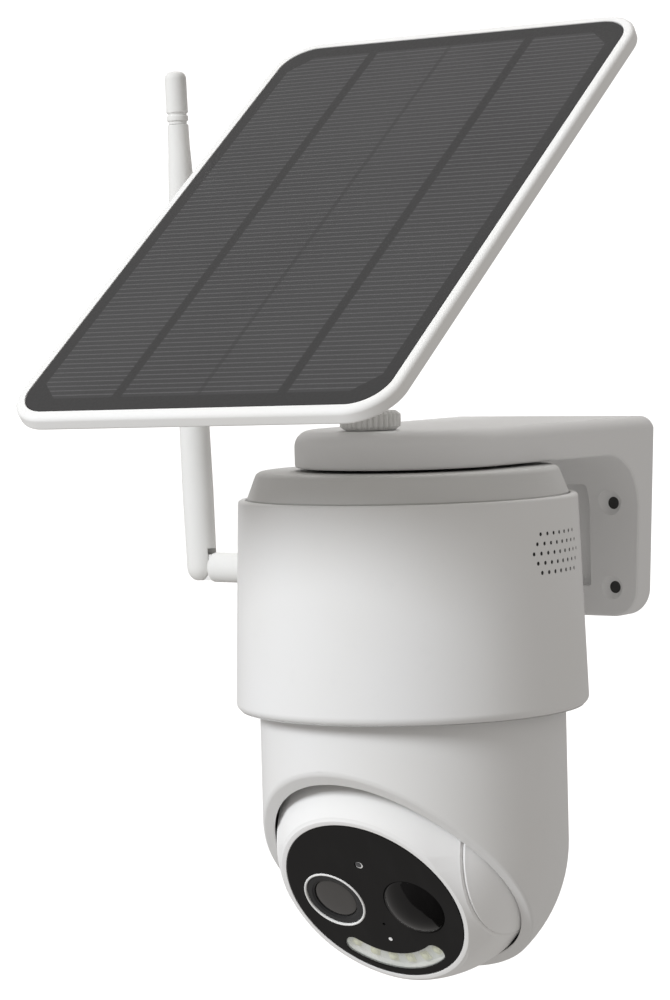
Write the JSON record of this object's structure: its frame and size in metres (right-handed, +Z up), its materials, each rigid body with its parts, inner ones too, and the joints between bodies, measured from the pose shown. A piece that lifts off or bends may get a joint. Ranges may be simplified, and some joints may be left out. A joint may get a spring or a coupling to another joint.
{
  "type": "solar-powered security camera",
  "caption": "Outdoor pan and tilt security camera on a wall bracket: ball head under a round white body, folding side antenna, and a solar panel on a ball joint above the arm.",
  "frame": {"origin": "middle of the four wall screw holes, on the back face of the bracket's wall plate", "axes": "+Z up, +Y into the wall, +X to the right as seen from in front of the wall; the camera looks along -Y at rest"},
  "size_m": [0.1725, 0.2234, 0.3259],
  "materials": {
    "bracket_grey": "fine matt moulding",
    "cap_grey": "fine matt moulding",
    "shell_white": "satin moulding",
    "housing_white": "satin moulding",
    "ball_white": "satin moulding",
    "antenna_white": "satin sleeve",
    "panel_white": "satin moulding",
    "knob_grey": "satin, ribbed",
    "post_grey": "painted satin",
    "panel_glass": "clear, smooth",
    "solar_cell": "dark silicon with fine lines",
    "face_black": "polished",
    "pir_black": "polished dome",
    "ring_white": "polished",
    "lens_grey": "coated, grey",
    "led_clear": "clear, slightly pearly",
    "led_phosphor": "domed",
    "sensor_grey": "smooth",
    "status_white": "translucent",
    "steel": "satin",
    "nylon": "natural",
    "rubber_black": "matt",
    "rubber_grey": "matt",
    "inner_black": "matt",
    "inner_grey": "matt",
    "circuit_board": "solder mask",
    "cell_sleeve": "shrink sleeve"
  },
  "bodies": {
    "base": {"wall_bracket": "bracket_grey", "hub_screws": "steel", "hub_nuts": "steel", "hub_seal": "rubber_black", "top_cap": "cap_grey", "upper_shell": "shell_white", "speaker": "inner_black", "main_board": "circuit_board", "battery_tray": "inner_black", "battery_cells": "cell_sleeve", "base_plate": "inner_grey", "base_screws": "steel", "pan_bush": "nylon", "pan_seal": "rubber_black", "pan_motor": "steel", "usb_socket": "steel"},
    "knob": {"clamp_knob": "knob_grey"},
    "post": {"ball_post": "post_grey", "post_nut": "steel"},
    "seat": {"ball_seat": "nylon"},
    "panel": {"panel_socket": "panel_white", "socket_screws": "steel", "panel_tray": "panel_white", "solar_glass": "panel_glass", "solar_cells": "solar_cell", "panel_gland": "rubber_black"},
    "ring": {"socket_ring": "knob_grey"},
    "pan": {"pan_housing": "housing_white", "pan_deck": "inner_grey", "deck_screws": "steel", "pan_gear": "nylon", "tilt_pins": "steel", "tilt_gear": "nylon"},
    "pan_drive": {"pan_pinion": "nylon"},
    "head": {"tilt_motor": "steel", "head_frame": "inner_black", "ball_front": "ball_white", "ball_rear": "ball_white", "side_cap_left": "ball_white", "side_cap_right": "ball_white", "face_plate": "face_black", "lens_ring": "ring_white", "lens_barrel": "inner_black", "lens_window": "lens_grey", "sensor_board": "circuit_board", "pir_lens": "pir_black", "pir_sensor": "steel", "led_cover": "led_clear", "leds": "led_phosphor", "led_board": "circuit_board", "light_sensor": "sensor_grey", "status_led": "status_white"},
    "tilt_drive": {"tilt_pinion": "nylon"},
    "antenna_stub": {"antenna_base": "antenna_white"},
    "antenna_rod": {"antenna_pin": "steel", "antenna_sleeve": "antenna_white", "antenna_tip": "antenna_white"},
    "cover": {"port_cover": "rubber_grey"},
    "button": {"power_button": "inner_black"}
  },
  "joints": [
    {"name": "panel_swivel", "type": "hinge", "parent": "base", "child": "post", "pos_m": [0, -0.1155, 0.05], "axis": [0, 0, 1], "range_deg": [-40, 18]},
    {"name": "knob_turn", "type": "hinge", "parent": "post", "child": "knob", "pos_m": [0, -0.1155, 0.05], "axis": [0, 0, 1], "range_deg": [0, 360]},
    {"name": "panel_tilt", "type": "hinge", "parent": "post", "child": "seat", "pos_m": [0, -0.1155, 0.0918], "axis": [1, 0, 0], "range_deg": [-36, 14]},
    {"name": "panel_spin", "type": "hinge", "parent": "seat", "child": "panel", "pos_m": [0, -0.1155, 0.0918], "axis": [0, -0.5906, 0.807], "range_deg": [-60, 12]},
    {"name": "ring_turn", "type": "hinge", "parent": "panel", "child": "ring", "pos_m": [0, -0.1155, 0.0918], "axis": [0, -0.5906, 0.807], "range_deg": [0, 360]},
    {"name": "head_pan", "type": "hinge", "parent": "base", "child": "pan", "pos_m": [0, -0.094, -0.0488], "axis": [0, 0, 1], "range_deg": [-177, 177]},
    {"name": "pan_pinion_spin", "type": "hinge", "parent": "base", "child": "pan_drive", "pos_m": [0, -0.133, -0.036], "axis": [0, 0, 1], "range_deg": [-591, 591]},
    {"name": "head_tilt", "type": "hinge", "parent": "pan", "child": "head", "pos_m": [0, -0.094, -0.095], "axis": [1, 0, 0], "range_deg": [-33, 45]},
    {"name": "tilt_pinion_spin", "type": "hinge", "parent": "head", "child": "tilt_drive", "pos_m": [-0.028, -0.10383, -0.07851], "axis": [1, 0, 0], "range_deg": [-56, 76]},
    {"name": "antenna_swivel", "type": "hinge", "parent": "base", "child": "antenna_stub", "pos_m": [-0.06, -0.094, -0.0036], "axis": [1, 0, 0], "range_deg": [-30, 180]},
    {"name": "antenna_fold", "type": "hinge", "parent": "antenna_stub", "child": "antenna_rod", "pos_m": [-0.088, -0.094, -0.0036], "axis": [0, 1, 0], "range_deg": [-88, 0]},
    {"name": "cover_hinge", "type": "hinge", "parent": "base", "child": "cover", "pos_m": [0, -0.0349, -0.023], "axis": [-1, 0, 0], "range_deg": [0, 105]},
    {"name": "button_press", "type": "slide", "parent": "base", "child": "button", "axis": [0, -1, 0], "range_m": [0, 0.0008], "stiffness_N_per_m": 800, "springref_m": -0.001}
  ],
  "couplings": [
    {"joint": "pan_pinion_spin", "follows": "head_pan", "ratio": -3.3333},
    {"joint": "tilt_pinion_spin", "follows": "head_tilt", "ratio": 1.6667}
  ]
}
